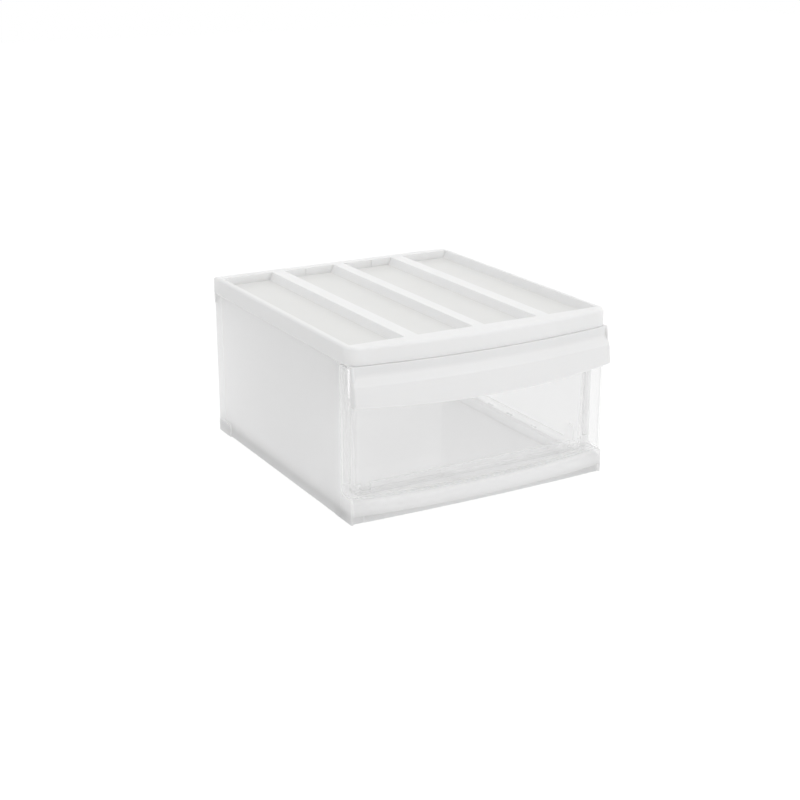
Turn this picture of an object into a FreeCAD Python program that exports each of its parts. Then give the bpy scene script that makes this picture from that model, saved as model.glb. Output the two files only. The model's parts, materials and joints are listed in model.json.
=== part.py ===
"""Stackable drawer box: a milky casing under a white top cover, with one clear drawer.

Millimetres, +X to the right, +Y to the back, +Z up. The origin is at the bottom centre
of the whole object's box. Every size is a named cell of the sheet, and every sketch,
pad, cut and rounding is bound to those cells by an expression.
"""
import FreeCAD, Part
import math
import os
import re
import Sketcher
from FreeCAD import Vector

# Driving sizes in millimetres; a share is a fraction of the run that its function names
SIZES = {
    # whole object
    "width": 340,
    "depth": 395,
    "height": 203,
    "bow": 15,
    # clearances between pieces, and the overrun of every cut
    "seam_gap": 0.25,
    "slide_gap": 0.3,
    "panel_gap": 1.6,
    "handle_gap": 0.4,
    "return_gap": 0.6,
    "overrun": 2,
    # top cover
    "cover_skirt": 20,
    "cover_rear_skirt": 32.5,
    "cover_rear_run": 6,
    "cover_wall": 2.2,
    "cover_corner": 16,
    "cover_rear_corner": 4,
    "cover_shoulder": 3.5,
    "lane_depth": 9.5,
    "lane_slope": 4.2,
    "lane_root": 1.2,
    "rim_side": 7.5,
    "rim_front": 12,
    "rim_rear": 16.5,
    "centre_ridge": 15,
    "side_ridge": 17,
    "side_ridge_shift": 1.5,
    "ridge_edge": 0.9,
    "joint_groove": 0.9,
    "joint_groove_inset": 38.5,
    # side walls and back wall
    "skirt_proud": 1,
    "rear_proud": 2.5,
    "wall": 3,
    "wall_foot_gap": 0.5,
    "tongue": 1.5,
    "field_recess": 0.6,
    "rear_strip": 18,
    "post_place": 25,
    "post_depth": 14,
    "post_flange": 2.6,
    "post_flange_reach": 7.5,
    "arm_rise": 5,
    "arm_fillet": 8,
    "arm_edge": 1.2,
    "arm_seam": 0.5,
    # base
    "plinth_height": 9.8,
    "plinth_inset": 3,
    "plinth_bow": 4,
    "plinth_wall": 2.5,
    "base_plate": 2.5,
    "lip_height": 14.2,
    "lip_depth": 18,
    "lip_skin": 2.6,
    "lip_round": 7,
    "lip_edge": 1.5,
    "runner_inset": 11,
    "runner_width": 7,
    "side_flange": 2.4,
    "side_flange_rise": 1,
    "keeper_place": 50,
    "keeper_length": 18,
    "keeper_rise": 20,
    "keeper_round": 8.5,
    # corner feet
    "foot_length": 38,
    "foot_width": 18,
    "rear_foot_rise": 6.2,
    # drawer tray
    "tray_side_gap": 9,
    "tray_draft": 3,
    "tray_wall": 2,
    "tray_drop": 40.6,
    "tray_front": 17.5,
    "tray_rear_gap": 4,
    "tray_round": 6,
    "apron_rise": 9,
    "stop_inset": 31.1,
    "stop_reach": 4.4,
    "stop_length": 6,
    "stop_height": 10,
    "stop_drop": 3,
    "hook_inset": 15.5,
    "hook_width": 12,
    "hook_depth": 2,
    "hook_drop": 1.6,
    "window_inset": 10.5,
    "window_width": 9,
    "window_length": 5,
    "slot_inset": 8,
    "slot_length": 9,
    "slot_width": 2.2,
    "front_slot_share": 0.28,
    "middle_slot_share": 0.44,
    "rear_slot_share": 0.57,
    # drawer front
    "shell_rise": 7,
    "shell_wall": 2.2,
    "shell_back": 0.5,
    "shell_corner": 6,
    "shell_side_inset": 1.2,
    "return_round": 10,
    # handle
    "handle_lip": 2.5,
    "handle_end_lip": 3.4,
    "handle_bulge": 8,
    "handle_flare": 11.5,
    "handle_lip_height": 10.5,
    "bulge_height": 11,
    "handle_skirt": 27.5,
    "handle_end_rise": 6,
    "handle_skin": 2.5,
    "handle_end": 3.2,
    "bulge_skin": 3,
    "bulge_round": 9,
    "heel_round": 2.5,
    "handle_leg": 11,
    "handle_leg_inset": 12,
    "handle_end_round": 2,
    "handle_edge": 0.8,
}

# Places across the object that several pieces share, written in the sheet's names
HALF = "(width / 2)"
WALL_OUTER = f"({HALF} - skirt_proud)"
WALL_INNER = f"({WALL_OUTER} - wall)"
BASE_HALF = f"({WALL_INNER} - seam_gap)"
FOOT_INNER = f"({HALF} - foot_width)"
SHELL_HALF = f"({HALF} - shell_side_inset)"
TRAY_HALF = f"({WALL_INNER} - tray_side_gap)"
HOOK_LEFT = f"({TRAY_HALF} - hook_inset - hook_width / 2)"
HOOK_RIGHT = f"({TRAY_HALF} - hook_inset + hook_width / 2)"
SIDE_RIDGE = f"(({HALF} - rim_side + centre_ridge / 2) / 2 + side_ridge_shift)"

# Places along the depth
REAR = "(depth / 2)"
FRONT = f"(bow + handle_flare - {REAR})"
BOW_RADIUS = f"(({HALF} ^ 2 + bow ^ 2) / (2 * bow))"
BOW_CENTRE = f"({FRONT} - bow + {BOW_RADIUS})"
PLINTH_RADIUS = f"(({HALF} ^ 2 + plinth_bow ^ 2) / (2 * plinth_bow))"
PLINTH_CENTRE = f"({FRONT} + plinth_inset - plinth_bow + {PLINTH_RADIUS})"
LANE_FRONT = f"({FRONT} + rim_front)"
LANE_REAR = f"({REAR} - rim_rear)"
WALL_REAR = f"({REAR} - rear_proud)"
BASE_REAR = f"({WALL_REAR} - wall - seam_gap)"
POST = f"({FRONT} + post_place)"
FLANGE_REAR = f"({POST} + post_flange)"
TRAY_FRONT = f"({FRONT} + tray_front)"
TRAY_REAR = f"({WALL_REAR} - wall - tray_rear_gap)"
RETURN_REAR = f"({POST} - return_gap)"

# Places up the height
LANE_FLOOR = "(height - lane_depth)"
COVER_UNDERSIDE = f"({LANE_FLOOR} - cover_wall)"
TONGUE_TOP = f"({COVER_UNDERSIDE} - seam_gap)"
SKIRT_BOTTOM = "(height - cover_skirt)"
HANDLE_TOP = f"({SKIRT_BOTTOM} - handle_gap)"
BULGE_TOP = f"({HANDLE_TOP} - handle_lip_height)"
BULGE_BOTTOM = f"({BULGE_TOP} - bulge_height)"
HANDLE_BOTTOM = f"({BULGE_BOTTOM} - handle_skirt)"
SHELL_TOP = f"({HANDLE_TOP} - handle_skin)"
TRAY_TOP = f"({HANDLE_TOP} - tray_drop)"
LIP_TOP = "(plinth_height + lip_height)"
ARM_TOP = f"({LIP_TOP} + arm_rise)"
SIDE_FLANGE_TOP = f"({LIP_TOP} + side_flange_rise)"
SHELL_BOTTOM = f"({LIP_TOP} + shell_rise)"
APRON_TOP = f"({SHELL_BOTTOM} + apron_rise)"
TRAY_BOTTOM = f"({LIP_TOP} + slide_gap)"
TRAY_FLOOR = f"({TRAY_BOTTOM} + tray_wall)"
FOOT_TOP = "(plinth_height - seam_gap)"
REAR_FOOT_TOP = "(plinth_height + rear_foot_rise)"
PLATE_TOP = "(plinth_height + base_plate)"

SIDES = (("left", "-1"), ("right", "1"))
CLOSE = 1e-3


doc = FreeCAD.newDocument("drawer_box")
sheet = doc.addObject("Spreadsheet::Sheet", "Sizes")
for row, (alias, value) in enumerate(SIZES.items(), start=1):
    sheet.set(f"A{row}", alias)
    sheet.set(f"B{row}", str(value))
    sheet.setAlias(f"B{row}", alias)
doc.recompute()


def bound(expression):
    """The expression with each size's name pointing at the sheet."""
    return re.sub(r"[a-z_]+", lambda word: f"Sizes.{word.group()}"
                  if word.group() in SIZES else word.group(), expression)


def number(expression):
    """The expression's present value."""
    return float(sheet.evalExpression(expression))


def bow_line(setback):
    """A corner's second place that lies on the bowed front line, set back from it."""
    return ("arc", BOW_RADIUS, BOW_CENTRE, setback)


def plinth_line(setback):
    """A corner's second place that lies on the flatter front line of the plinth."""
    return ("arc", PLINTH_RADIUS, PLINTH_CENTRE, setback)


def on_arc(place):
    return not isinstance(place, str)


def point_of(corner):
    """The present place of an outline's corner."""
    across, along = corner
    x = number(across)
    if not on_arc(along):
        return Vector(x, number(along), 0)
    _, radius, centre, setback = along
    reach = number(f"{radius} - ({setback})")
    return Vector(x, number(centre) - math.sqrt(reach ** 2 - x ** 2), 0)


def tie(sketch, target, name, expression):
    """Add a dimension to the sketch and bind it to the sheet."""
    index = sketch.addConstraint(Sketcher.Constraint(*target, number(expression)))
    sketch.renameConstraint(index, name)
    sketch.setExpression(f"Constraints.{name}", bound(expression))


def arc_between(sketch, here, there, arc, name):
    """An arc through two corners, its centre on the upright axis of the sketch.

    In a sketch an arc's start, end and centre are its points 1, 2 and 3, and the sketch's
    own upright axis is its edge -2.
    """
    _, radius, centre, setback = arc
    apex = Vector(0, number(centre) - number(f"{radius} - ({setback})"), 0)
    left, right = sorted((here, there), key=lambda point: point.x)
    edge = sketch.addGeometry(Part.Arc(left, apex, right), False)
    tie(sketch, ("Radius", edge), f"{name}_radius{edge}", f"{radius} - ({setback})")
    sketch.addConstraint(Sketcher.Constraint("PointOnObject", edge, 3, -2))
    tie(sketch, ("DistanceY", edge, 3), f"{name}_centre{edge}", centre)
    return (edge, 1, 2) if left is here else (edge, 2, 1)


def outline(body, name, role, corners, offset="0", across_offset="0"):
    """A closed sketch on one of the body's planes, each corner bound to the sheet.

    Two neighbouring corners on the same arc are joined by it, all others by a line.
    """
    sketch = body.newObject("Sketcher::SketchObject", name)
    plane = next(item for item in body.Origin.OriginFeatures if item.Role == role)
    sketch.AttachmentSupport = (plane, [""])
    sketch.MapMode = "FlatFace"
    sketch.setExpression(".AttachmentOffset.Base.x", bound(across_offset))
    sketch.setExpression(".AttachmentOffset.Base.z", bound(offset))
    points = [point_of(corner) for corner in corners]
    count = len(corners)
    edges = []
    for index, (corner, here) in enumerate(zip(corners, points)):
        after = corners[(index + 1) % count]
        there = points[(index + 1) % count]
        if on_arc(corner[1]) and corner[1] == after[1]:
            edges.append(arc_between(sketch, here, there, corner[1], name))
        else:
            line = sketch.addGeometry(Part.LineSegment(here, there), False)
            edges.append((line, 1, 2))
    for index, (edge, _, end) in enumerate(edges):
        following, start, _ = edges[(index + 1) % count]
        sketch.addConstraint(Sketcher.Constraint("Coincident", edge, end, following, start))
    for index, (across, along) in enumerate(corners):
        edge, start, _ = edges[index]
        tie(sketch, ("DistanceX", edge, start), f"{name}_across{index}", across)
        if not on_arc(along):
            tie(sketch, ("DistanceY", edge, start), f"{name}_along{index}", along)
    return sketch


def rectangle(left, right, low, high):
    """The four corners of a rectangle."""
    return [(left, low), (right, low), (right, high), (left, high)]


def side_band(sign, inner, outer, front, rear):
    """A rectangle in plan between two distances from the middle plane, on one side."""
    if sign == "1":
        return rectangle(inner, outer, front, rear)
    return rectangle(f"-{outer}", f"-{inner}", front, rear)


def new_body(label):
    body = doc.addObject("PartDesign::Body", label)
    body.Label = label
    return body


def pad(body, name, role, corners, start, length):
    """Material from the sketch plane at start, over length along the plane's normal."""
    feature = body.newObject("PartDesign::Pad", name)
    feature.Profile = outline(body, f"{name}_outline", role, corners, offset=start)
    feature.setExpression("Length", bound(length))
    body.Tip = feature
    doc.recompute()


def pocket(body, name, role, corners, start, length):
    """A cut from the sketch plane at start, over length along the plane's normal."""
    before = body.Shape.Volume
    feature = body.newObject("PartDesign::Pocket", name)
    feature.Profile = outline(body, f"{name}_outline", role, corners, offset=start)
    feature.Reversed = True
    feature.setExpression("Length", bound(length))
    body.Tip = feature
    doc.recompute()
    if not body.Shape.Volume < before:
        raise RuntimeError(f"{name} cut nothing")


def turned(body, kind, name, corners, half_angle):
    """Material or a cut made by turning a section about the bow's upright axis."""
    feature = body.newObject(f"PartDesign::{kind}", name)
    profile = outline(body, f"{name}_outline", "YZ_Plane", corners, across_offset=BOW_CENTRE)
    feature.Profile = profile
    feature.ReferenceAxis = (profile, ["V_Axis"])
    feature.Midplane = True
    feature.setExpression("Angle", bound(f"2 * {half_angle}"))
    body.Tip = feature
    doc.recompute()


def rounded(body, name, radius, chosen):
    """A fillet on every edge of the body that the test picks."""
    base = body.Tip
    picked = [f"Edge{index}" for index, edge in enumerate(base.Shape.Edges, start=1)
              if chosen(edge)]
    if not picked:
        raise RuntimeError(f"{name} found no edge")
    feature = body.newObject("PartDesign::Fillet", name)
    feature.Base = (base, picked)
    feature.setExpression("Radius", bound(radius))
    body.Tip = feature
    doc.recompute()


def near(place, expression):
    return abs(place - number(expression)) < CLOSE


def upright(edge):
    """True for an edge that runs along Z."""
    bounds = edge.BoundBox
    return bounds.ZLength > CLOSE and bounds.XLength + bounds.YLength < CLOSE


def level(edge, expression):
    """True for an edge that lies flat at the given height."""
    return near(edge.BoundBox.ZMin, expression) and near(edge.BoundBox.ZMax, expression)


def at_side(edge, expression):
    """True for an edge whose middle is at the given distance from the middle plane."""
    return near(abs(edge.CenterOfMass.x), expression)


def top_cover():
    """White cover: four lanes between ridges, one even skin, with a skirt all round."""
    body = new_body("top_cover")
    plan = [(f"-{HALF}", REAR), (f"-{HALF}", bow_line("0")), (HALF, bow_line("0")), (HALF, REAR)]
    pad(body, "cover_block", "XY_Plane", plan, "height - cover_rear_skirt", "cover_rear_skirt")
    inner_half = f"({HALF} - cover_wall)"
    inner_rear = f"({REAR} - cover_wall)"
    inner = [(f"-{inner_half}", inner_rear), (f"-{inner_half}", bow_line("cover_wall")),
             (inner_half, bow_line("cover_wall")), (inner_half, inner_rear)]
    below = "(height - cover_rear_skirt - overrun)"
    pocket(body, "underside", "XY_Plane", inner, below, f"{COVER_UNDERSIDE} - {below}")
    rounded(body, "inner_front_corners", "cover_corner - cover_wall",
            lambda edge: upright(edge) and at_side(edge, inner_half) and edge.BoundBox.YMax < 0)
    rounded(body, "outer_front_corners", "cover_corner",
            lambda edge: upright(edge) and at_side(edge, HALF) and edge.BoundBox.YMax < 0)
    rounded(body, "outer_rear_corners", "cover_rear_corner",
            lambda edge: upright(edge) and near(edge.BoundBox.YMax, REAR))
    rounded(body, "cover_shoulders", "cover_shoulder", lambda edge: level(edge, "height"))
    low_cut = rectangle(f"-({HALF} + overrun)", f"({HALF} + overrun)",
                        f"({FRONT} - bow - overrun)", f"({REAR} - cover_rear_run)")
    pocket(body, "skirt_cut", "XY_Plane", low_cut, below, f"{SKIRT_BOTTOM} - {below}")
    lanes(body)
    joint_grooves(body)
    ridge_hollows(body)
    rim_hollows(body)
    return body


def lane_edges():
    """The two top edges of each lane across the object, from left to right."""
    rim = f"({HALF} - rim_side)"
    outer = f"({SIDE_RIDGE} + side_ridge / 2)"
    inner = f"({SIDE_RIDGE} - side_ridge / 2)"
    centre = "(centre_ridge / 2)"
    return [(f"-{rim}", f"-{outer}"), (f"-{inner}", f"-{centre}"), (centre, inner), (outer, rim)]


def lanes(body):
    """Four lanes with sloping sides, open at the top, their edges and roots rounded."""
    spread = "(lane_slope * overrun / lane_depth)"
    top = "(height + overrun)"
    for place, (left, right) in enumerate(lane_edges(), start=1):
        section = [(f"{left} - {spread}", top), (f"{left} + lane_slope", LANE_FLOOR),
                   (f"{right} - lane_slope", LANE_FLOOR), (f"{right} + {spread}", top)]
        pocket(body, f"lane_{place}", "XZ_Plane", section, f"-{LANE_REAR}",
               f"{LANE_REAR} - {LANE_FRONT}")

    def lengthwise(edge):
        return edge.BoundBox.YLength > number(REAR)

    rounded(body, "ridge_edges", "ridge_edge",
            lambda edge: level(edge, "height") and lengthwise(edge)
            and edge.BoundBox.XMax < number(f"{HALF} - rim_side / 2")
            and edge.BoundBox.XMin > -number(f"{HALF} - rim_side / 2"))
    rounded(body, "lane_roots", "lane_root",
            lambda edge: level(edge, LANE_FLOOR) and lengthwise(edge))


def joint_grooves(body):
    """A narrow upright groove in the rear wall of each middle lane."""
    place = f"({SIDE_RIDGE} - joint_groove_inset)"
    for side, sign in SIDES:
        corners = side_band(sign, f"({place} - joint_groove / 2)", f"({place} + joint_groove / 2)",
                            f"({LANE_REAR} - joint_groove)", f"({LANE_REAR} + joint_groove)")
        pocket(body, f"joint_groove_{side}", "XY_Plane", corners, LANE_FLOOR,
               "lane_depth - ridge_edge")


def ridge_hollows(body):
    """A hollow below each ridge between two lanes."""
    ridges = [(f"(0 - {SIDE_RIDGE})", "side_ridge"), ("0", "centre_ridge"),
              (SIDE_RIDGE, "side_ridge")]
    for index, (place, ridge) in enumerate(ridges, start=1):
        upper = f"({ridge} / 2 - cover_wall)"
        lower = f"({upper} + lane_slope)"
        low, high = f"({COVER_UNDERSIDE} - overrun)", "(height - cover_wall)"
        section = [(f"{place} - {lower}", low), (f"{place} + {lower}", low),
                   (f"{place} + {upper}", high), (f"{place} - {upper}", high)]
        pocket(body, f"ridge_hollow_{index}", "XZ_Plane", section, f"-{LANE_REAR}",
               f"{LANE_REAR} - {LANE_FRONT}")


def rim_hollows(body):
    """Hollows below the side, front and rear rims, clear of the rounded corners."""
    high = "(height - cover_wall)"
    low = f"({COVER_UNDERSIDE} - overrun)"
    outer = f"({HALF} - cover_wall)"
    upper = f"({HALF} - rim_side + cover_wall)"
    lower = f"({upper} - lane_slope)"
    for side, sign in SIDES:
        section = [(f"{sign} * {lower}", low), (f"{sign} * {outer}", low),
                   (f"{sign} * {outer}", high), (f"{sign} * {upper}", high)]
        pocket(body, f"side_rim_hollow_{side}", "XZ_Plane", section, f"-{LANE_REAR}",
               f"{LANE_REAR} - {LANE_FRONT}")
    reach = f"({HALF} - cover_corner)"
    rear = rectangle(f"-{reach}", reach, f"({LANE_REAR} + cover_wall)", f"({REAR} - cover_wall)")
    pocket(body, "rear_rim_hollow", "XY_Plane", rear, low, f"{high} - {low}")
    front_line = f"({LANE_FRONT} - cover_wall)"
    front = [(f"-{reach}", front_line), (f"-{reach}", bow_line("cover_wall")),
             (reach, bow_line("cover_wall")), (reach, front_line)]
    pocket(body, "front_rim_hollow", "XY_Plane", front, low, f"{high} - {low}")


def side_wall(label, sign):
    """Milky side wall: a thin field between the front post and the rear strip.

    Its lower arm runs forward beside the base's lip, and the drawer front fills the space above.
    """
    body = new_body(label)
    rear_foot = f"({REAR} - foot_length - seam_gap)"
    rear_foot_top = f"({REAR_FOOT_TOP} + seam_gap)"
    profile = [(FRONT, "wall_foot_gap"), (rear_foot, "wall_foot_gap"),
               (rear_foot, rear_foot_top), (WALL_REAR, rear_foot_top),
               (WALL_REAR, TONGUE_TOP), (POST, TONGUE_TOP), (POST, ARM_TOP),
               (FRONT, ARM_TOP)]
    left_face = WALL_INNER if sign == "1" else f"-{WALL_OUTER}"
    pad(body, f"{label}_panel", "YZ_Plane", profile, left_face, "wall")
    rounded(body, f"{label}_arm_fillet", "arm_fillet",
            lambda edge: level(edge, ARM_TOP) and near(edge.CenterOfMass.y, POST))
    rounded(body, f"{label}_arm_edges", "arm_edge",
            lambda edge: at_side(edge, WALL_OUTER) and near(edge.BoundBox.YMin, FRONT)
            and edge.BoundBox.ZMax > number("plinth_height"))
    flange = side_band(sign, f"({WALL_INNER} - post_flange_reach)", WALL_INNER, POST, FLANGE_REAR)
    flange_foot = f"({SIDE_FLANGE_TOP} + seam_gap)"
    pad(body, f"{label}_post_flange", "XY_Plane", flange, flange_foot,
        f"{TONGUE_TOP} - {flange_foot}")
    beyond = f"({WALL_OUTER} + overrun)"
    rebate = side_band(sign, f"({WALL_INNER} + tongue)", beyond, FRONT, f"({REAR} + overrun)")
    rebate_foot = f"({SKIRT_BOTTOM} - panel_gap)"
    pocket(body, f"{label}_skirt_rebate", "XY_Plane", rebate, rebate_foot,
           f"{TONGUE_TOP} - {rebate_foot} + overrun")
    rear_rebate = side_band(sign, f"({WALL_INNER} + tongue)", beyond,
                            f"({REAR} - cover_rear_run - seam_gap)", f"({REAR} + overrun)")
    rear_rebate_foot = "(height - cover_rear_skirt - panel_gap)"
    pocket(body, f"{label}_rear_rebate", "XY_Plane", rear_rebate, rear_rebate_foot,
           f"{TONGUE_TOP} - {rear_rebate_foot}")
    field = side_band(sign, f"({WALL_OUTER} - field_recess)", beyond,
                      f"({POST} + post_depth)", f"({WALL_REAR} - rear_strip)")
    field_foot = "(wall_foot_gap - overrun)"
    pocket(body, f"{label}_field", "XY_Plane", field, field_foot,
           f"{SKIRT_BOTTOM} - {field_foot}")
    seam = side_band(sign, f"({WALL_OUTER} - arm_seam)", beyond, f"({POST} - arm_seam / 2)",
                     f"({POST} + arm_seam / 2)")
    pocket(body, f"{label}_arm_seam", "XY_Plane", seam, field_foot,
           f"{ARM_TOP} + arm_fillet - {field_foot}")
    return body


def back_wall():
    """Milky back wall between the side walls, tucked up under the cover's rear skirt."""
    body = new_body("back_wall")
    foot_side = f"({FOOT_INNER} - seam_gap)"
    shoulder = f"({REAR_FOOT_TOP} + seam_gap)"
    profile = [(f"-{foot_side}", "wall_foot_gap"), (foot_side, "wall_foot_gap"),
               (foot_side, shoulder), (BASE_HALF, shoulder), (BASE_HALF, TONGUE_TOP),
               (f"-{BASE_HALF}", TONGUE_TOP), (f"-{BASE_HALF}", shoulder),
               (f"-{foot_side}", shoulder)]
    pad(body, "back_panel", "XZ_Plane", profile, f"-{WALL_REAR}", "wall")
    return body


def base_tray():
    """Milky base: plate on a recessed plinth, bowed lip, runners and side flanges."""
    body = new_body("base_tray")
    plan = [(f"-{BASE_HALF}", BASE_REAR), (f"-{BASE_HALF}", plinth_line("0")),
            (BASE_HALF, plinth_line("0")), (BASE_HALF, BASE_REAR)]
    pad(body, "base_block", "XY_Plane", plan, "0", PLATE_TOP)
    foot_edge = f"({FOOT_INNER} - seam_gap)"
    hollow_half = f"({foot_edge} - plinth_wall)"
    hollow_rear = f"({BASE_REAR} - plinth_wall)"
    hollow = [(f"-{hollow_half}", hollow_rear), (f"-{hollow_half}", plinth_line("plinth_wall")),
              (hollow_half, plinth_line("plinth_wall")), (hollow_half, hollow_rear)]
    pocket(body, "plinth_hollow", "XY_Plane", hollow, "-overrun", "plinth_height + overrun")
    for side, sign in SIDES:
        strip = side_band(sign, foot_edge, f"({HALF} + overrun)", f"({FRONT} - bow)",
                          f"({REAR} + overrun)")
        pocket(body, f"foot_space_{side}", "XY_Plane", strip, "-overrun",
               "plinth_height + overrun")
    base_lip(body)
    for side, sign in SIDES:
        runner_middle = f"({TRAY_HALF} - runner_inset)"
        runner = side_band(sign, f"({runner_middle} - runner_width / 2)",
                           f"({runner_middle} + runner_width / 2)",
                           f"({FRONT} + lip_depth - overrun)", f"({BASE_REAR} - tray_rear_gap)")
        pad(body, f"runner_{side}", "XY_Plane", runner, "plinth_height", "lip_height")
        flange = side_band(sign, f"({BASE_HALF} - side_flange)", BASE_HALF,
                           f"({FLANGE_REAR} + seam_gap)", BASE_REAR)
        pad(body, f"side_flange_{side}", "XY_Plane", flange, "plinth_height",
            "lip_height + side_flange_rise")
        keeper(body, side, sign)
    return body


def base_lip(body):
    """The bowed lip over the plinth: a channel open at the back, its front edge well rounded."""
    rear = f"({FRONT} + lip_depth)"
    plan = [(f"-{BASE_HALF}", rear), (f"-{BASE_HALF}", bow_line("0")),
            (BASE_HALF, bow_line("0")), (BASE_HALF, rear)]
    pad(body, "lip_block", "XY_Plane", plan, "plinth_height", "lip_height")
    rounded(body, "lip_front_edge", "lip_round",
            lambda edge: level(edge, LIP_TOP) and edge.BoundBox.YMax < number(FRONT))
    rounded(body, "lip_lower_edge", "lip_edge",
            lambda edge: level(edge, "plinth_height")
            and edge.BoundBox.YMin < number(f"{FRONT} - bow / 2"))
    inside = f"({HALF} - foot_width)"
    hollow_rear = f"({rear} + overrun)"
    hollow = [(f"-{inside}", hollow_rear), (f"-{inside}", bow_line("lip_round")),
              (inside, bow_line("lip_round")), (inside, hollow_rear)]
    pocket(body, "lip_hollow", "XY_Plane", hollow, PLATE_TOP,
           "lip_height - base_plate - lip_skin")


def keeper(body, side, sign):
    """A round-topped tab on the side flange that keeps the drawer from swinging."""
    front = f"({FRONT} + keeper_place)"
    left_face = f"({BASE_HALF} - side_flange)" if sign == "1" else f"-{BASE_HALF}"
    top = f"({LIP_TOP} + keeper_rise)"
    corners = rectangle(front, f"({front} + keeper_length)", "plinth_height", top)
    pad(body, f"keeper_{side}", "YZ_Plane", corners, left_face, "side_flange")
    rounded(body, f"keeper_round_{side}", "keeper_round",
            lambda edge: level(edge, top) and edge.BoundBox.XLength > number("side_flange / 2")
            and edge.CenterOfMass.x * number(sign) > 0)


def foot(label, sign, end):
    """A corner foot that carries the base plate.

    The front one stands inside the side wall's arm, the rear one closes the walls' corner.
    """
    body = new_body(label)
    if end == "front":
        block = side_band(sign, FOOT_INNER, BASE_HALF, f"({FRONT} + plinth_inset)",
                          f"({FRONT} + foot_length)")
        pad(body, f"{label}_block", "XY_Plane", block, "0", FOOT_TOP)
        return body
    front = f"({REAR} - foot_length)"
    block = side_band(sign, FOOT_INNER, HALF, front, REAR)
    pad(body, f"{label}_block", "XY_Plane", block, "0", FOOT_TOP)
    cheek = side_band(sign, WALL_INNER, HALF, front, REAR)
    pad(body, f"{label}_cheek", "XY_Plane", cheek, "0", REAR_FOOT_TOP)
    back = side_band(sign, FOOT_INNER, HALF, f"({WALL_REAR} - wall)", REAR)
    pad(body, f"{label}_back", "XY_Plane", back, "0", REAR_FOOT_TOP)
    rounded(body, f"{label}_corner", "cover_rear_corner",
            lambda edge: upright(edge) and at_side(edge, HALF)
            and near(edge.CenterOfMass.y, REAR))
    return body


def drawer_tray():
    """Clear tray: drafted walls, rounded floor, low front apron, stops and slots."""
    body = new_body("drawer_tray")
    low_half = f"({TRAY_HALF} - tray_draft)"
    section = [(f"-{low_half}", TRAY_BOTTOM), (low_half, TRAY_BOTTOM),
               (TRAY_HALF, TRAY_TOP), (f"-{TRAY_HALF}", TRAY_TOP)]
    pad(body, "tray_block", "XZ_Plane", section, f"-{TRAY_REAR}", f"{TRAY_REAR} - {TRAY_FRONT}")
    draft = f"(tray_draft / ({TRAY_TOP} - {TRAY_BOTTOM}))"
    inner_low = f"({low_half} - tray_wall + tray_wall * {draft})"
    inner_top = f"({TRAY_HALF} - tray_wall + overrun * {draft})"
    hollow = [(f"-{inner_low}", TRAY_FLOOR), (inner_low, TRAY_FLOOR),
              (inner_top, f"({TRAY_TOP} + overrun)"), (f"-{inner_top}", f"({TRAY_TOP} + overrun)")]
    pocket(body, "tray_hollow", "XZ_Plane", hollow, f"-({TRAY_REAR} - tray_wall)",
           f"{TRAY_REAR} - {TRAY_FRONT} - tray_wall * 2")
    inner_ends = (f"({TRAY_FRONT} + tray_wall)", f"({TRAY_REAR} - tray_wall)")

    def corner_or_floor(edge, ends, floor):
        slanted = edge.BoundBox.ZLength > number(f"{TRAY_TOP} / 2")
        at_end = any(near(edge.CenterOfMass.y, end) for end in ends)
        return level(edge, floor) or slanted and at_end

    rounded(body, "tray_inner_edges", "tray_round - tray_wall",
            lambda edge: corner_or_floor(edge, inner_ends, TRAY_FLOOR))
    rounded(body, "tray_outer_edges", "tray_round",
            lambda edge: corner_or_floor(edge, (TRAY_FRONT, TRAY_REAR), TRAY_BOTTOM))
    beyond = f"({TRAY_HALF} + overrun)"
    opening = rectangle(f"-{beyond}", beyond, f"({TRAY_FRONT} - overrun)",
                        f"({TRAY_FRONT} + tray_round)")
    pocket(body, "tray_mouth", "XY_Plane", opening, APRON_TOP,
           f"{TRAY_TOP} - {APRON_TOP} + overrun")
    for side, sign in SIDES:
        tray_stop(body, side, sign)
        hook_openings(body, side, sign)
        runner_slots(body, side, sign)
    return body


def tray_stop(body, side, sign):
    """A lug near the rear of the tray's side that the casing's post flange catches."""
    front = f"({TRAY_REAR} - stop_inset)"
    lug = side_band(sign, f"({TRAY_HALF} - tray_wall)", f"({TRAY_HALF} + stop_reach)",
                    front, f"({front} + stop_length)")
    pad(body, f"stop_{side}", "XY_Plane", lug, f"{TRAY_TOP} - stop_drop - stop_height",
        "stop_height")


def hook_openings(body, side, sign):
    """A notch in the apron for one hook of the drawer front, and a window in the floor."""
    notch = side_band(sign, f"({HOOK_LEFT} - seam_gap)", f"({HOOK_RIGHT} + seam_gap)",
                      f"({TRAY_FRONT} - overrun)", f"({TRAY_FRONT} + tray_wall + overrun)")
    pocket(body, f"hook_notch_{side}", "XY_Plane", notch, f"{SHELL_BOTTOM} - seam_gap",
           "apron_rise + seam_gap + overrun")
    window_middle = f"({TRAY_HALF} - window_inset)"
    window_front = f"({TRAY_FRONT} + tray_round + overrun)"
    window = side_band(sign, f"({window_middle} - window_width / 2)",
                       f"({window_middle} + window_width / 2)", window_front,
                       f"({window_front} + window_length)")
    pocket(body, f"floor_window_{side}", "XY_Plane", window, f"{TRAY_BOTTOM} - overrun",
           "tray_wall + overrun * 2")


def runner_slots(body, side, sign):
    """Three short slots along the floor's edge, placed by shares of the tray's length."""
    middle = f"({TRAY_HALF} - slot_inset)"
    for share in ("front_slot_share", "middle_slot_share", "rear_slot_share"):
        place = f"({TRAY_FRONT} + {share} * ({TRAY_REAR} - {TRAY_FRONT}))"
        slot = side_band(sign, f"({middle} - slot_width / 2)", f"({middle} + slot_width / 2)",
                         f"({place} - slot_length / 2)", f"({place} + slot_length / 2)")
        pocket(body, f"{share}_{side}", "XY_Plane", slot, f"{TRAY_BOTTOM} - overrun",
               "tray_wall + overrun * 2")


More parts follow.
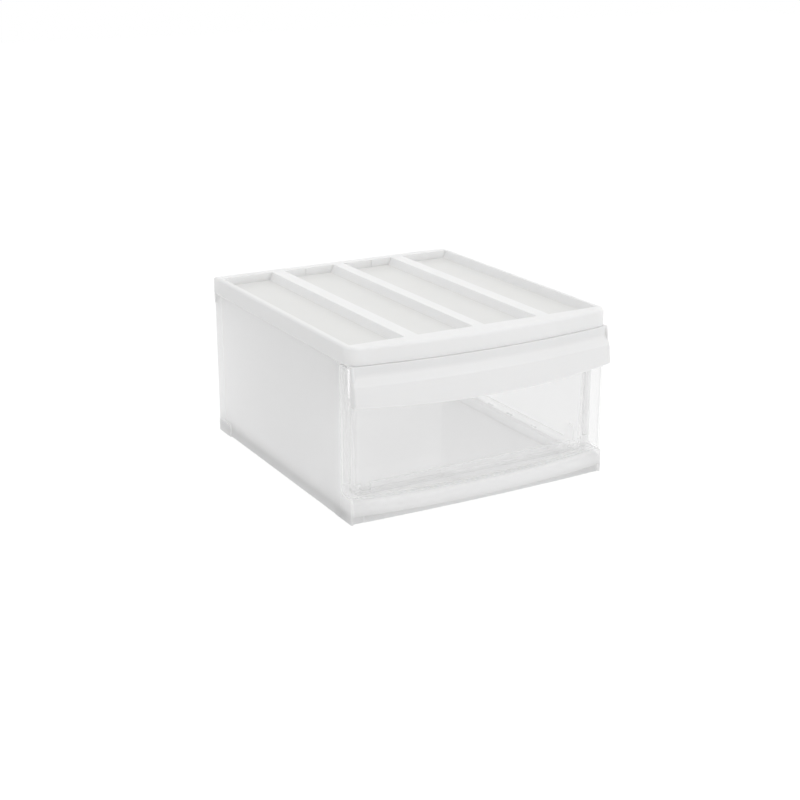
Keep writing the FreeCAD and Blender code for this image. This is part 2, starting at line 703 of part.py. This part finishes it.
def drawer_front():
    """Clear bowed front with side returns, a floor ledge and two hooks into the tray."""
    body = new_body("drawer_front")
    inner_half = f"({SHELL_HALF} - shell_wall)"
    inner_line = bow_line("shell_back + shell_wall")
    plan = [(f"-{SHELL_HALF}", RETURN_REAR), (f"-{SHELL_HALF}", bow_line("shell_back")),
            (SHELL_HALF, bow_line("shell_back")), (SHELL_HALF, RETURN_REAR),
            (inner_half, RETURN_REAR), (inner_half, inner_line),
            (f"-{inner_half}", inner_line), (f"-{inner_half}", RETURN_REAR)]
    pad(body, "shell", "XY_Plane", plan, SHELL_BOTTOM, f"{SHELL_TOP} - {SHELL_BOTTOM}")

    def front_corner(edge, side):
        return upright(edge) and at_side(edge, side) and edge.CenterOfMass.y < number(TRAY_FRONT)

    rounded(body, "shell_outer_corners", "shell_corner",
            lambda edge: front_corner(edge, SHELL_HALF))
    rounded(body, "shell_inner_corners", "shell_corner - shell_wall",
            lambda edge: front_corner(edge, inner_half))
    rounded(body, "return_corners", "return_round",
            lambda edge: level(edge, SHELL_BOTTOM) and near(edge.BoundBox.YMin, RETURN_REAR))
    short = f"({inner_half} - shell_corner)"
    ledge_line = bow_line("(shell_back + shell_wall / 2)")
    ledge_rear = f"({TRAY_FRONT} - seam_gap)"
    ledge = [(f"-{short}", ledge_rear), (f"-{short}", ledge_line), (short, ledge_line),
             (short, ledge_rear)]
    pad(body, "shell_ledge", "XY_Plane", ledge, SHELL_BOTTOM, "shell_wall")
    flange_foot = f"({SHELL_BOTTOM} + return_round)"
    for side, sign in SIDES:
        flange = side_band(sign, f"({TRAY_HALF} + seam_gap)", inner_half,
                           f"({RETURN_REAR} - shell_wall)", RETURN_REAR)
        pad(body, f"return_flange_{side}", "XY_Plane", flange, flange_foot,
            f"{SHELL_TOP} - {flange_foot}")
        nib_front = f"({TRAY_FRONT} + tray_wall + seam_gap)"
        nib_rear = f"({nib_front} + hook_depth)"
        tongue = side_band(sign, HOOK_LEFT, HOOK_RIGHT, f"({ledge_rear} - shell_wall)", nib_rear)
        pad(body, f"hook_tongue_{side}", "XY_Plane", tongue, SHELL_BOTTOM, "shell_wall")
        nib = side_band(sign, HOOK_LEFT, HOOK_RIGHT, nib_front, nib_rear)
        pad(body, f"hook_nib_{side}", "XY_Plane", nib, f"{SHELL_BOTTOM} - hook_drop",
            "hook_drop + shell_wall / 2")
    return body


def ahead(forward):
    """A place in a turned section at the given distance in front of the bow line."""
    return f"-({BOW_RADIUS} + ({forward}))"


def turn_to(across, radius):
    """Half the angle about the bow's axis that reaches the given distance at a radius."""
    return f"asin(({across}) / ({radius}))"


def drawer_handle():
    """White handle along the whole front: lip, bulge and a flared skirt to pull behind."""
    body = new_body("drawer_handle")
    slot_front = ahead("seam_gap - shell_back")
    slot_rear = ahead("0 - shell_back - shell_wall - seam_gap")
    leg_rear = ahead("0 - shell_back - shell_wall - seam_gap - handle_skin")
    slot_top = f"({SHELL_TOP} + seam_gap)"
    section = [(ahead("handle_lip"), HANDLE_TOP), (ahead("handle_lip"), BULGE_TOP),
               (ahead("handle_bulge"), BULGE_BOTTOM), (ahead("handle_flare"), HANDLE_BOTTOM),
               (slot_front, HANDLE_BOTTOM), (slot_front, slot_top),
               (leg_rear, slot_top), (leg_rear, HANDLE_TOP)]
    inner_radius = f"({BOW_RADIUS} - bow)"
    turned(body, "Revolution", "handle_block", section, turn_to(f"{HALF} + overrun", inner_radius))

    def along_front(edge, height):
        return level(edge, height) and edge.BoundBox.XLength > number(HALF)

    rounded(body, "bulge_shoulder", "bulge_round", lambda edge: along_front(edge, BULGE_TOP))
    rounded(body, "bulge_heel", "heel_round", lambda edge: along_front(edge, BULGE_BOTTOM))
    trim_handle(body)
    rounded(body, "handle_ends", "handle_end_round",
            lambda edge: at_side(edge, SHELL_HALF)
            and edge.CenterOfMass.y < number(f"{FRONT} - handle_lip")
            and edge.BoundBox.ZLength > number("handle_edge"))
    deep = ahead("0 - bow / 2")
    below = f"({HANDLE_BOTTOM} - overrun)"
    hollow = [(deep, below), (ahead("handle_flare - handle_skin"), below),
              (ahead("handle_bulge - handle_skin"), BULGE_BOTTOM),
              (ahead("handle_lip - bulge_skin"), BULGE_TOP), (deep, BULGE_TOP)]
    turned(body, "Groove", "finger_space", hollow,
           turn_to(f"{SHELL_HALF} - handle_end", f"{BOW_RADIUS} + handle_flare"))
    leg_foot = f"({SHELL_TOP} - handle_leg)"
    leg = [(slot_rear, leg_foot), (leg_rear, leg_foot), (leg_rear, HANDLE_TOP),
           (slot_rear, HANDLE_TOP)]
    turned(body, "Revolution", "rear_leg", leg,
           turn_to(f"{HALF} - handle_leg_inset", inner_radius))
    return body


def trim_handle(body):
    """Close the handle's ends with a flat cheek each, and arch its lower edge.

    A cheek's front edge runs straight from the lip down to the flare, across the recess.
    """
    front = f"({FRONT} - bow - handle_flare - overrun)"
    length = f"({HANDLE_TOP} - {HANDLE_BOTTOM} + overrun * 2)"
    for side, sign in SIDES:
        beyond = side_band(sign, SHELL_HALF, f"({HALF} + bow)", front, f"({FRONT} + bow)")
        pocket(body, f"end_cut_{side}", "XY_Plane", beyond, f"{HANDLE_BOTTOM} - overrun", length)
    root = f"({FRONT} - handle_lip / 2)"
    cheek = [(root, HANDLE_TOP), (f"({FRONT} - handle_end_lip)", HANDLE_TOP),
             (f"({FRONT} - handle_flare)", HANDLE_BOTTOM), (root, HANDLE_BOTTOM)]
    for side, left_face in (("left", f"-{SHELL_HALF}"), ("right", f"({SHELL_HALF} - handle_end)")):
        pad(body, f"cheek_{side}", "YZ_Plane", cheek, left_face, "handle_end")
    radius = f"(({HALF} ^ 2 + handle_end_rise ^ 2) / (2 * handle_end_rise))"
    arch = ("arc", radius, f"({HANDLE_BOTTOM} + {radius})", "0")
    reach = f"({HALF} + overrun)"
    below = [(f"-{reach}", f"({HANDLE_BOTTOM} - overrun)"), (reach, f"({HANDLE_BOTTOM} - overrun)"),
             (reach, arch), (f"-{reach}", arch)]
    pocket(body, "lower_arch", "XZ_Plane", below, f"-({FRONT} + bow)", f"{FRONT} + bow - {front}")


def check_and_write(bodies):
    """Stop on any failed object or shape, then write one file for each piece."""
    doc.recompute()
    for item in doc.Objects:
        if "Invalid" in item.State or "Error" in item.State:
            raise RuntimeError(f"{item.Name} failed: {item.State}")
    os.makedirs("parts", exist_ok=True)
    for body in bodies:
        shape = body.Shape
        if shape.isNull() or not shape.isValid() or len(shape.Solids) != 1:
            raise RuntimeError(f"{body.Label} has no single valid solid")
        bounds = shape.BoundBox
        print(f"{body.Label:18s} volume {shape.Volume:11.1f}  "
              f"x {bounds.XMin:7.2f} {bounds.XMax:7.2f}  y {bounds.YMin:7.2f} {bounds.YMax:7.2f}  "
              f"z {bounds.ZMin:6.2f} {bounds.ZMax:6.2f}")
        shape.exportStep(f"parts/{body.Label}.step")


check_and_write([
    top_cover(),
    side_wall("left_side_wall", "-1"),
    side_wall("right_side_wall", "1"),
    back_wall(),
    base_tray(),
    foot("front_left_foot", "-1", "front"),
    foot("front_right_foot", "1", "front"),
    foot("rear_left_foot", "-1", "rear"),
    foot("rear_right_foot", "1", "rear"),
    drawer_tray(),
    drawer_front(),
    drawer_handle(),
])
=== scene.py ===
"""Looks of the stackable drawer box: white cover and handle, milky casing, clear drawer."""
import json
import math

import bpy
from mathutils import Matrix, Vector

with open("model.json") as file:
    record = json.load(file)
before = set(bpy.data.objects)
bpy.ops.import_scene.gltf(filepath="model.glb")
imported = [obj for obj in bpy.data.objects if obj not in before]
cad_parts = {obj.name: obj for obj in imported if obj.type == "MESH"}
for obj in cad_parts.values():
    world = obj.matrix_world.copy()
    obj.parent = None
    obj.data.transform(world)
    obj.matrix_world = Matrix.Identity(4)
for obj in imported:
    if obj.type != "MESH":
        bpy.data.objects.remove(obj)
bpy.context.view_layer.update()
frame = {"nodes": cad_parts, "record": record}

NODES = frame["nodes"]

# Camera: place in metres, turn and dip in degrees, lens and sensor in millimetres
CAMERA_PLACE = (-0.85479, -1.49047, 0.64438)
CAMERA_TURN = -29.519
CAMERA_DIP = 18.527
CAMERA_LENS = 66.2
CAMERA_SENSOR = 36.0
CAMERA_NEAR = 0.05
CAMERA_FAR = 50.0

# Square lamps, all aimed at one point: name, place and side in metres, watts, shown in gloss
LAMP_AIM = (0, 0, 0.1)
SOFTBOXES = (
    ("front", (0.5, -2.4, 1.0), 2.0, 9, True),
    ("back", (0.9, 2.4, 0.5), 1.4, 14, False),
    ("top", (0.3, -0.2, 2.5), 2.0, 9, True),
)

# Surroundings as a light: mean strength, and its growth towards X, Y and Z
WORLD_LEVEL = 0.87
WORLD_SLOPE = (0.16, 0.08, 0.01)

# Floor: half its side in metres, its level as a light, and the level and glow that are seen
FLOOR_HALF = 6.0
FLOOR_LEVEL = 232
FLOOR_SEEN_LEVEL = 140
FLOOR_GLOW = 0.82

# A ray crosses many faces of clear plastic, and light bounces often inside the pale casing
BOUNCES = {"transparent_max_bounces": 24, "diffuse_bounces": 12, "glossy_bounces": 12,
           "transmission_bounces": 12, "max_bounces": 28}

# Plastics: levels by which a colour drifts and by which milky plastic passes a paler light, and
# how strongly the satin and the clear ones bend light
COLOUR_DRIFT = 3
PASSED_RISE = 6
SATIN_IOR = 1.49
CLEAR_IOR = 1.5

# How far the painted corner shade and the outer-edge mask look, in metres, and with how many rays
CREVICE_REACH = 0.004
RIM_REACH = 0.0012
SHADING_SAMPLES = 6

# The cover's lanes, whose level floors get painted shade: floor height, how far from it they count,
# how level they are
LANE_FLOOR = 0.1935
LANE_NEAR = 0.0004
LANE_FAR = 0.0012
LANE_TILTED = 0.8
LANE_LEVEL = 0.95

# The casing gets painted shade, darker downwards: heights in metres between which the plinth and
# the lip fade, where the lip ends at its back, and the share of the casing's own colour in the
# lip's lower part
PLINTH_DARK = 0.010
PLINTH_PALE = 0.016
LIP_DARK = 0.022
LIP_PALE = 0.036
LIP_BACK = -0.160
LIP_BACK_FADE = 0.004
LIP_SHARE = 0.75
# Levels of the plinth's painted shade, as a surface and for the light that it lets through
PLINTH_SHADE_LEVEL = 238
PLINTH_PASSED_SHADE_LEVEL = 240

# The clear front's sides, in metres: where their haze starts, and its fade
SIDE_START = 0.160
SIDE_FADE = 0.006

# Clear plastic seen edge-on: the slant from which it dims, and by how many levels
SLANT_START = 0.6
SLANT_DIMMING = 40


def linear(value):
    """A colour level from 0 to 255 as the renderer's own linear number."""
    share = value / 255
    return share / 12.92 if share <= 0.04045 else ((share + 0.055) / 1.055) ** 2.4


def shade(red, green, blue):
    """An opaque colour from its three levels."""
    return (linear(red), linear(green), linear(blue), 1.0)


def grey(level):
    """A neutral colour of one level."""
    return shade(level, level, level)


class Tree:
    """A material's or world's node tree, with short calls to add and join nodes."""

    def __init__(self, owner):
        owner.use_nodes = True
        self.tree = owner.node_tree
        self.tree.nodes.clear()

    def add(self, kind, inputs=None, **settings):
        """A new node. An input given as a socket is linked, and any other one is set."""
        node = self.tree.nodes.new(kind)
        for name, value in settings.items():
            setattr(node, name, value)
        for name, value in (inputs or {}).items():
            if isinstance(value, bpy.types.NodeSocket):
                self.tree.links.new(value, node.inputs[name])
            else:
                node.inputs[name].default_value = value
        return node

    def maths(self, operation, first, second=0.0):
        return self.add("ShaderNodeMath", {0: first, 1: second}, operation=operation).outputs[0]

    def blend(self, share, first, second):
        return self.add("ShaderNodeMixShader", {0: share, 1: first, 2: second}).outputs[0]

    def ramp(self, value, start=0.0, end=1.0, low=0.0, high=1.0):
        """Low up to the start, high from the end on, and even in between."""
        node = self.add("ShaderNodeMapRange", {"Value": value, "From Min": start,
                                               "From Max": end, "To Min": low, "To Max": high})
        return node.outputs["Result"]

    def place(self):
        """The place on the object in metres, as X, Y and Z."""
        place = self.add("ShaderNodeTexCoord").outputs["Object"]
        return self.add("ShaderNodeSeparateXYZ", {0: place}).outputs

    def mixed_colour(self, share, first, second):
        """The first colour at share 0 and the second at share 1, each a colour or a socket."""
        mix = self.add("ShaderNodeMix", data_type="RGBA")
        self.tree.links.new(share, mix.inputs[0])
        for socket, colour in ((mix.inputs[6], first), (mix.inputs[7], second)):
            if isinstance(colour, bpy.types.NodeSocket):
                self.tree.links.new(colour, socket)
            else:
                socket.default_value = colour
        return mix.outputs[2]


def grain(tree, scale, detail=3.0):
    """Noise at the given scale in the object's own metres."""
    place = tree.add("ShaderNodeTexCoord").outputs["Object"]
    noise = tree.add("ShaderNodeTexNoise",
                     {"Vector": place, "Scale": scale, "Detail": detail})
    return noise.outputs["Fac"]


def tinted(tree, dark, light, scale):
    """A colour that drifts between two close shades."""
    return tree.mixed_colour(grain(tree, scale), dark, light)


def rim_share(tree, reach, flat, sharp):
    """One share where a piece is flat, turning to another along its outer edges."""
    inward = tree.add("ShaderNodeAmbientOcclusion", {"Distance": reach},
                      samples=SHADING_SAMPLES, inside=True, only_local=True)
    return tree.ramp(inward.outputs["AO"], low=sharp, high=flat)


def painted_shade_and_highlight(tree, colour, crevice_shade, edge):
    """The colour with painted shade in inner corners and a painted highlight along outer edges."""
    corner = tree.add("ShaderNodeAmbientOcclusion", {"Distance": CREVICE_REACH},
                      samples=SHADING_SAMPLES, only_local=True)
    shaded = tree.mixed_colour(corner.outputs["AO"], crevice_shade, colour)
    return tree.mixed_colour(rim_share(tree, RIM_REACH, flat=-0.2, sharp=1.2), shaded, edge)


def painted_lane_shade_share(tree):
    """1 on the level floors of the cover's lanes, where painted shade goes, falling to 0 up their
    slopes.
    """
    offset = tree.maths("ABSOLUTE", tree.maths("SUBTRACT", tree.place()["Z"], LANE_FLOOR))
    near = tree.ramp(offset, LANE_NEAR, LANE_FAR, low=1.0, high=0.0)
    facing = tree.add("ShaderNodeNewGeometry").outputs["Normal"]
    upward = tree.add("ShaderNodeSeparateXYZ", {0: facing}).outputs["Z"]
    return tree.maths("MULTIPLY", near, tree.ramp(upward, LANE_TILTED, LANE_LEVEL))


def bumped(tree, coarse, fine, coarse_depth, fine_depth):
    """Moulded skin: a slow waviness under a fine matt grain, depths in metres."""
    slow = tree.add("ShaderNodeBump", {"Height": grain(tree, coarse), "Distance": coarse_depth})
    quick = tree.add("ShaderNodeBump", {"Height": grain(tree, fine, detail=2.0),
                                        "Distance": fine_depth,
                                        "Normal": slow.outputs["Normal"]})
    return quick.outputs["Normal"]


def white_plastic(name, level, passing):
    """White moulded plastic with a satin skin, which lets a small share of light through. Its
    lanes' floors and inner corners get painted shade, its outer edges a painted highlight.
    """
    material = bpy.data.materials.new(name)
    tree = Tree(material)
    thick = tinted(tree, grey(level), grey(level + COLOUR_DRIFT), scale=9.0)
    # Painted shade: a darker colour for the lanes' floors, standing in for the dim inside seen
    # through the thin floor
    thin = tinted(tree, shade(229, 229, 227), shade(233, 233, 231), scale=9.0)
    body = tree.mixed_colour(painted_lane_shade_share(tree), thick, thin)
    # Base colour with painted shade in inner corners and a painted highlight on outer edges
    surface = tree.add("ShaderNodeBsdfPrincipled", {
        "Base Color": painted_shade_and_highlight(tree, body, crevice_shade=shade(222, 222, 221), edge=grey(254)),
        "Roughness": tree.ramp(grain(tree, scale=60.0), low=0.26, high=0.36),
        "Normal": bumped(tree, coarse=14.0, fine=1400.0, coarse_depth=0.0012,
                         fine_depth=0.00002),
        "IOR": SATIN_IOR,
        "Subsurface Weight": 0.25,
        "Subsurface Scale": 0.004,
        "Subsurface Radius": (1.0, 0.95, 0.9),
    })
    through = tree.add("ShaderNodeBsdfTranslucent", {"Color": grey(252)})
    tree.add("ShaderNodeOutputMaterial",
             {"Surface": tree.blend(passing, surface.outputs[0], through.outputs[0])})
    return material


def milky_plastic(name, level, passing):
    """Frosted milky plastic: it scatters most light and lets a share of it through.

    The plinth and, a little, the front of the lip are painted darker: painted shade low on the
    casing.
    """
    material = bpy.data.materials.new(name)
    tree = Tree(material)
    place = tree.place()
    # Masks for painted shade: near 0 on the plinth and the lip's lower front, 1 clear of them
    behind_lip = tree.ramp(place["Y"], LIP_BACK - LIP_BACK_FADE, LIP_BACK)
    over_lip = tree.maths("MAXIMUM", tree.ramp(place["Z"], LIP_DARK, LIP_PALE, low=LIP_SHARE),
                          behind_lip)
    above = tree.maths("MULTIPLY", tree.ramp(place["Z"], PLINTH_DARK, PLINTH_PALE), over_lip)
    pale = tree.mixed_colour(above, grey(PLINTH_SHADE_LEVEL), grey(level + COLOUR_DRIFT))
    dull = tree.mixed_colour(above, grey(PLINTH_SHADE_LEVEL), grey(level))
    # Base colour with painted shade in inner corners and a painted highlight on outer edges
    body = tree.add("ShaderNodeBsdfPrincipled", {
        "Base Color": painted_shade_and_highlight(tree, tinted(tree, dull, pale, scale=7.0), crevice_shade=grey(222),
                            edge=grey(253)),
        "Roughness": tree.ramp(grain(tree, scale=45.0), low=0.34, high=0.48),
        "Normal": bumped(tree, coarse=11.0, fine=1100.0, coarse_depth=0.0015,
                         fine_depth=0.00003),
        "IOR": SATIN_IOR,
    })
    passed = tree.mixed_colour(above, grey(PLINTH_PASSED_SHADE_LEVEL), grey(level + PASSED_RISE))
    through = tree.add("ShaderNodeBsdfTranslucent", {"Color": passed})
    tree.add("ShaderNodeOutputMaterial",
             {"Surface": tree.blend(passing, body.outputs[0], through.outputs[0])})
    return material


def clear_plastic(name, level, side_haze):
    """Clear thin moulded plastic: a glossy outer skin, a faint haze, and edges that catch light.

    It doesn't bend the light, as a thin wall doesn't, and lets the lamps' light through.
    """
    material = bpy.data.materials.new(name)
    tree = Tree(material)
    normal = bumped(tree, coarse=5.0, fine=60.0, coarse_depth=0.0003, fine_depth=0.000004)
    body = tree.add("ShaderNodeBsdfPrincipled", {
        "Base Color": tinted(tree, grey(238), grey(244), scale=20.0),
        "Roughness": tree.ramp(grain(tree, scale=80.0), low=0.18, high=0.3),
        "Normal": normal,
        "IOR": CLEAR_IOR,
    })
    slant = tree.add("ShaderNodeLayerWeight", {"Blend": 0.5}).outputs["Facing"]
    clear = tree.add("ShaderNodeBsdfTransparent", {
        "Color": tree.mixed_colour(tree.ramp(slant, start=SLANT_START), grey(level),
                                   grey(level - SLANT_DIMMING))})
    sideways = tree.maths("ABSOLUTE", tree.place()["X"])
    side = tree.ramp(sideways, SIDE_START, SIDE_START + SIDE_FADE, high=side_haze)
    haze = tree.maths("ADD", rim_share(tree, RIM_REACH, flat=0.02, sharp=0.9), side)
    hazy = tree.blend(haze, clear.outputs[0], body.outputs[0])
    gloss = tree.add("ShaderNodeBsdfGlossy", {"Color": grey(255), "Roughness": 0.04,
                                              "Normal": normal})
    skin = tree.add("ShaderNodeFresnel", {"IOR": CLEAR_IOR, "Normal": normal})
    outer = tree.maths("SUBTRACT", 1.0, tree.add("ShaderNodeNewGeometry").outputs["Backfacing"])
    shown = tree.blend(tree.maths("MULTIPLY", skin.outputs[0], outer), hazy, gloss.outputs[0])
    open_to_light = tree.add("ShaderNodeBsdfTransparent", {"Color": grey(255)})
    ray = tree.add("ShaderNodeLightPath")
    passes = tree.maths("MAXIMUM", ray.outputs["Is Shadow Ray"], ray.outputs["Is Diffuse Ray"])
    tree.add("ShaderNodeOutputMaterial",
             {"Surface": tree.blend(passes, shown, open_to_light.outputs[0])})
    return material


def dress():
    """Give every CAD piece its plastic: its slot's, or its own: the handle a darker copy of the
    white (painted shade), the back wall and base a paler, more translucent copy of the milky
    (painted light), and the front a clear one with hazy sides.
    """
    by_slot = {
        "white_plastic": white_plastic("white_plastic", level=249, passing=0.28),
        "milky_plastic": milky_plastic("milky_plastic", level=243, passing=0.81),
        "clear_plastic": clear_plastic("clear_plastic", level=255, side_haze=0.0),
    }
    # A paler copy of the milky plastic that lets more light through: painted light, brightening the
    # inside seen through the front
    lit_copy_milky = milky_plastic("lit_copy_milky_plastic", level=249, passing=0.95)
    by_piece = {
        # The handle: a darker copy of the cover's white plastic, as painted shade
        "drawer_handle": white_plastic("handle_plastic_painted_shade", level=237, passing=0.1),
        "back_wall": lit_copy_milky,
        "base_tray": lit_copy_milky,
        "drawer_front": clear_plastic("front_plastic", level=254, side_haze=0.14),
    }
    slots = {row["node"]: row["material_slot"] for row in frame["record"]["subparts"]}
    for name, piece in NODES.items():
        piece.data.materials.clear()
        piece.data.materials.append(by_piece.get(name, by_slot[slots[name]]))


def seen_directly(tree):
    """1 for rays that show a surface: from the camera, in gloss or through clear plastic."""
    ray = tree.add("ShaderNodeLightPath")
    gloss = tree.maths("MAXIMUM", ray.outputs["Is Glossy Ray"], ray.outputs["Is Transmission Ray"])
    return tree.maths("MAXIMUM", gloss, ray.outputs["Is Camera Ray"])


def floor():
    """A wide pale floor that reads white and keeps the box's soft shadow."""
    half = FLOOR_HALF
    mesh = bpy.data.meshes.new("floor")
    mesh.from_pydata([(-half, -half, 0), (half, -half, 0), (half, half, 0), (-half, half, 0)],
                     [], [(0, 1, 2, 3)])
    plane = bpy.data.objects.new("floor", mesh)
    bpy.context.collection.objects.link(plane)
    material = bpy.data.materials.new("floor")
    tree = Tree(material)
    matt = tree.add("ShaderNodeBsdfDiffuse", {"Color": grey(FLOOR_LEVEL)})
    shadow = tree.add("ShaderNodeBsdfDiffuse", {"Color": grey(FLOOR_SEEN_LEVEL)})
    glow = tree.add("ShaderNodeEmission", {"Color": grey(255), "Strength": FLOOR_GLOW})
    shown = tree.add("ShaderNodeAddShader", {0: shadow.outputs[0], 1: glow.outputs[0]})
    tree.add("ShaderNodeOutputMaterial",
             {"Surface": tree.blend(seen_directly(tree), matt.outputs[0], shown.outputs[0])})
    mesh.materials.append(material)


def light_world():
    """White surroundings: white where seen, a soft gradient where they light the box."""
    world = bpy.data.worlds.new("studio")
    bpy.context.scene.world = world
    tree = Tree(world)
    towards = tree.add("ShaderNodeTexCoord").outputs["Generated"]
    growth = tree.add("ShaderNodeVectorMath", {0: towards, 1: WORLD_SLOPE},
                      operation="DOT_PRODUCT").outputs["Value"]
    lamp = tree.add("ShaderNodeBackground", {"Color": grey(255),
                                             "Strength": tree.maths("ADD", growth, WORLD_LEVEL)})
    backdrop = tree.add("ShaderNodeBackground", {"Color": grey(255), "Strength": 1.0})
    tree.add("ShaderNodeOutputWorld",
             {"Surface": tree.blend(seen_directly(tree), lamp.outputs[0], backdrop.outputs[0])})


def softbox(name, place, side, power, mirrored):
    """A square soft lamp, shown in gloss or not."""
    data = bpy.data.lights.new(name, "AREA")
    data.shape = "SQUARE"
    data.size = side
    data.energy = power
    lamp = bpy.data.objects.new(name, data)
    bpy.context.collection.objects.link(lamp)
    lamp.visible_glossy = mirrored
    lamp.location = place
    lamp.rotation_mode = "QUATERNION"
    lamp.rotation_quaternion = (Vector(LAMP_AIM) - Vector(place)).to_track_quat("-Z", "Y")


def camera():
    """The photograph's viewing angle, with no shift."""
    data = bpy.data.cameras.new("camera")
    data.lens = CAMERA_LENS
    data.sensor_width = CAMERA_SENSOR
    data.clip_start = CAMERA_NEAR
    data.clip_end = CAMERA_FAR
    view = bpy.data.objects.new("camera", data)
    bpy.context.collection.objects.link(view)
    turn = math.radians(CAMERA_TURN)
    dip = math.radians(CAMERA_DIP)
    ahead = Vector((-math.sin(turn) * math.cos(dip), math.cos(turn) * math.cos(dip),
                    -math.sin(dip)))
    side = Vector((math.cos(turn), math.sin(turn), 0))
    above = side.cross(ahead)
    axes = Matrix((side, above, -ahead)).transposed()
    view.matrix_world = Matrix.Translation(CAMERA_PLACE) @ axes.to_4x4()
    bpy.context.scene.camera = view


dress()
floor()
light_world()
for row in SOFTBOXES:
    softbox(*row)
camera()

bpy.context.scene.view_settings.view_transform = "Standard"
for setting, count in BOUNCES.items():
    setattr(bpy.context.scene.cycles, setting, count)
